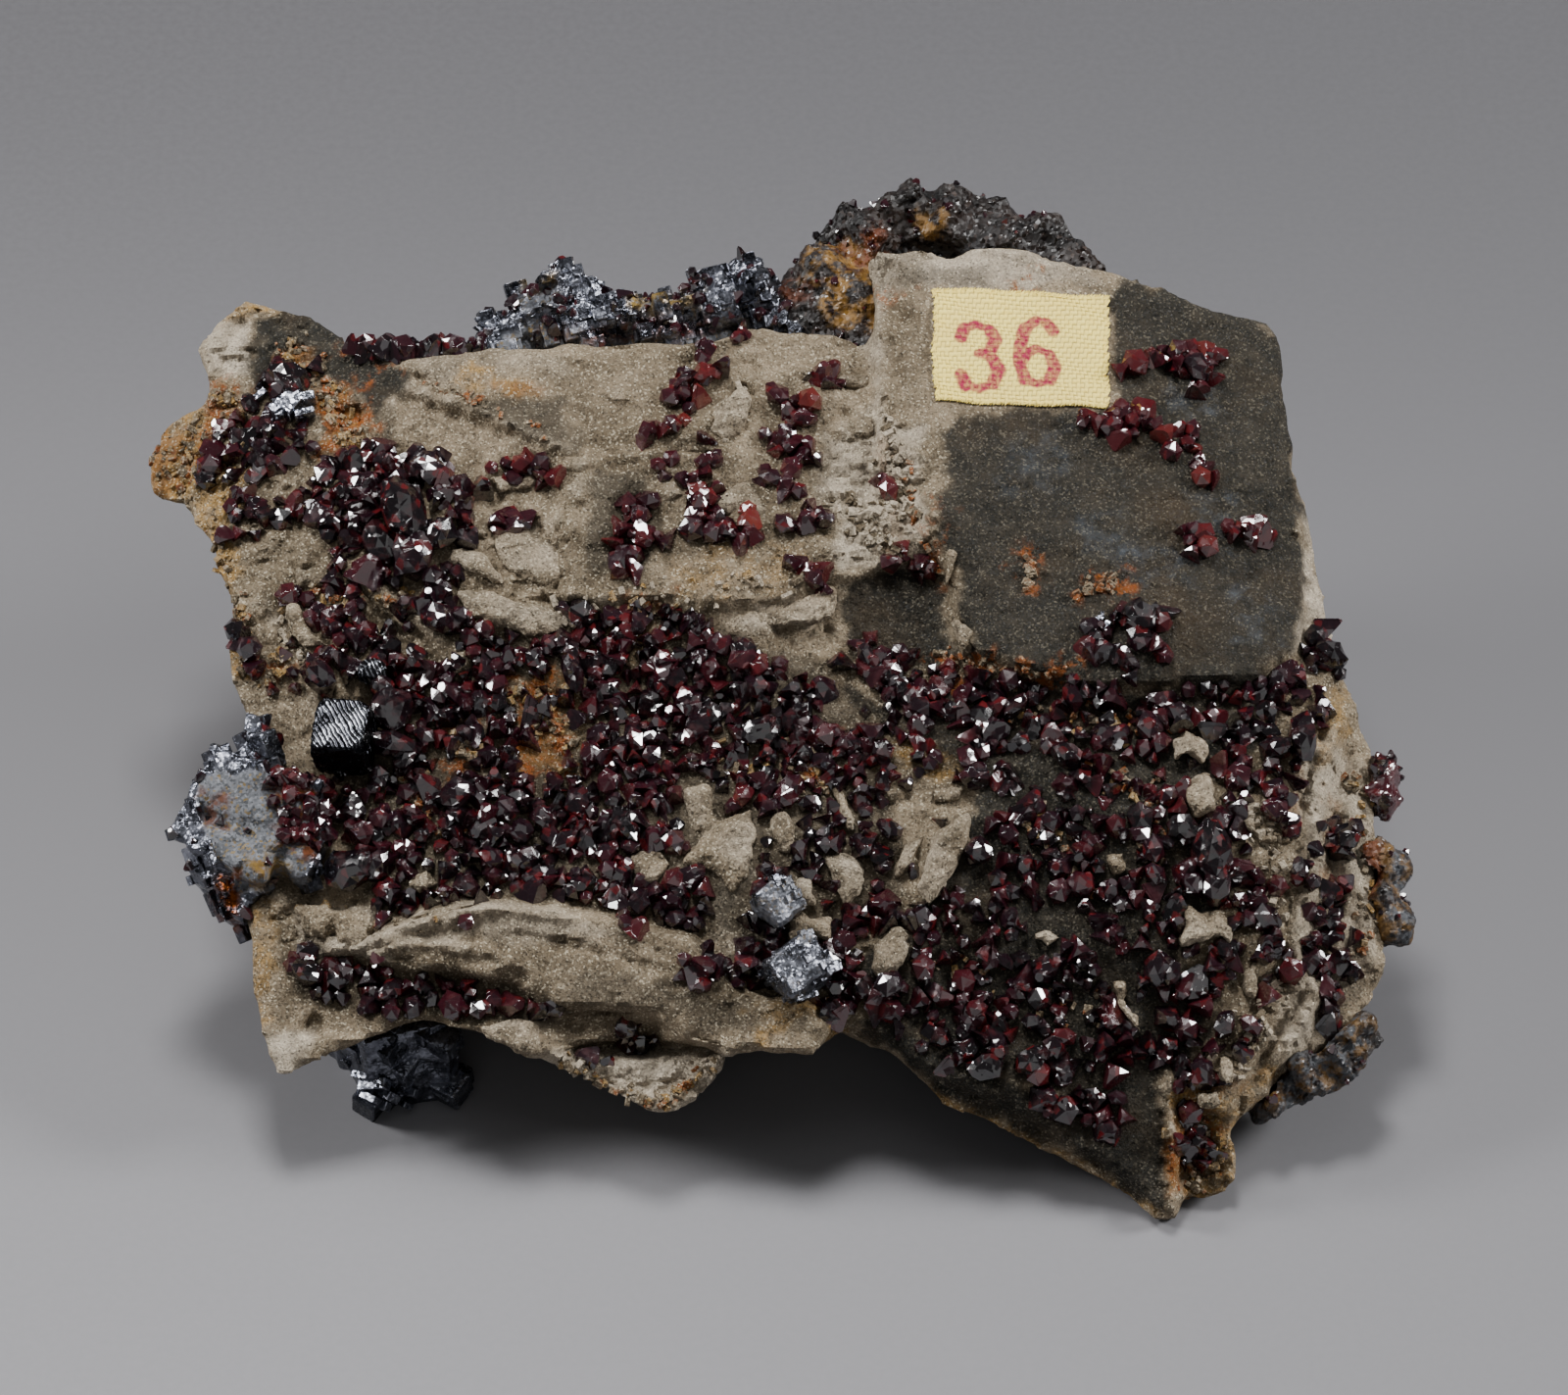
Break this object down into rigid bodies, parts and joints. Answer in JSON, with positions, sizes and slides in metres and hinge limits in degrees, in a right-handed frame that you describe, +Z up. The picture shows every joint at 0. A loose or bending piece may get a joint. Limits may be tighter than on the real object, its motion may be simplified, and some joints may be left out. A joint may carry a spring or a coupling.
{
  "type": "galena and sphalerite specimen",
  "caption": "Broken slab of drusy rock with ledges, dark sphalerite crystals in crusts and clusters, cleaved galena at its edges, and a cloth number label.",
  "frame": {"origin": "a point of the flat facet that the slab rests on, under the middle of the top face", "axes": "+X across the front of the face, along the slab's length; +Y away from the viewer, up the slope of the face; +Z up"},
  "size_m": [0.118, 0.0971, 0.0454],
  "materials": {
    "drusy_rock": "rough, sparkling",
    "sphalerite": "glossy",
    "galena": "metallic, cleaved",
    "pyrite_galena": "metallic, rough",
    "label_cloth": "matt"
  },
  "bodies": {
    "root": {"matrix_rock": "drusy_rock", "sphalerite_crust": "sphalerite", "sphalerite_group_left": "sphalerite", "sphalerite_group_valley": "sphalerite", "sphalerite_group_pit": "sphalerite", "sphalerite_cluster_a": "sphalerite", "sphalerite_cluster_b": "sphalerite", "sphalerite_cluster_c": "sphalerite", "sphalerite_cluster_d": "sphalerite", "sphalerite_cluster_e": "sphalerite", "sphalerite_cluster_f": "sphalerite", "sphalerite_cluster_g": "sphalerite", "sphalerite_cluster_h": "sphalerite", "sphalerite_cluster_i": "sphalerite", "sphalerite_cluster_j": "sphalerite", "sphalerite_cluster_k": "sphalerite", "sphalerite_cluster_l": "sphalerite", "sphalerite_cluster_m": "sphalerite", "sphalerite_back_row": "sphalerite", "sphalerite_back_mass": "sphalerite", "sphalerite_knob_right": "sphalerite", "galena_left": "galena", "galena_back_ridge": "galena", "galena_foot": "galena", "galena_crystal": "galena", "galena_chip_back": "galena", "galena_chip_front": "galena", "pyrite_galena_knob_right": "pyrite_galena", "galena_pyrite_crust_right": "pyrite_galena", "number_label": "label_cloth"}
  },
  "joints": []
}
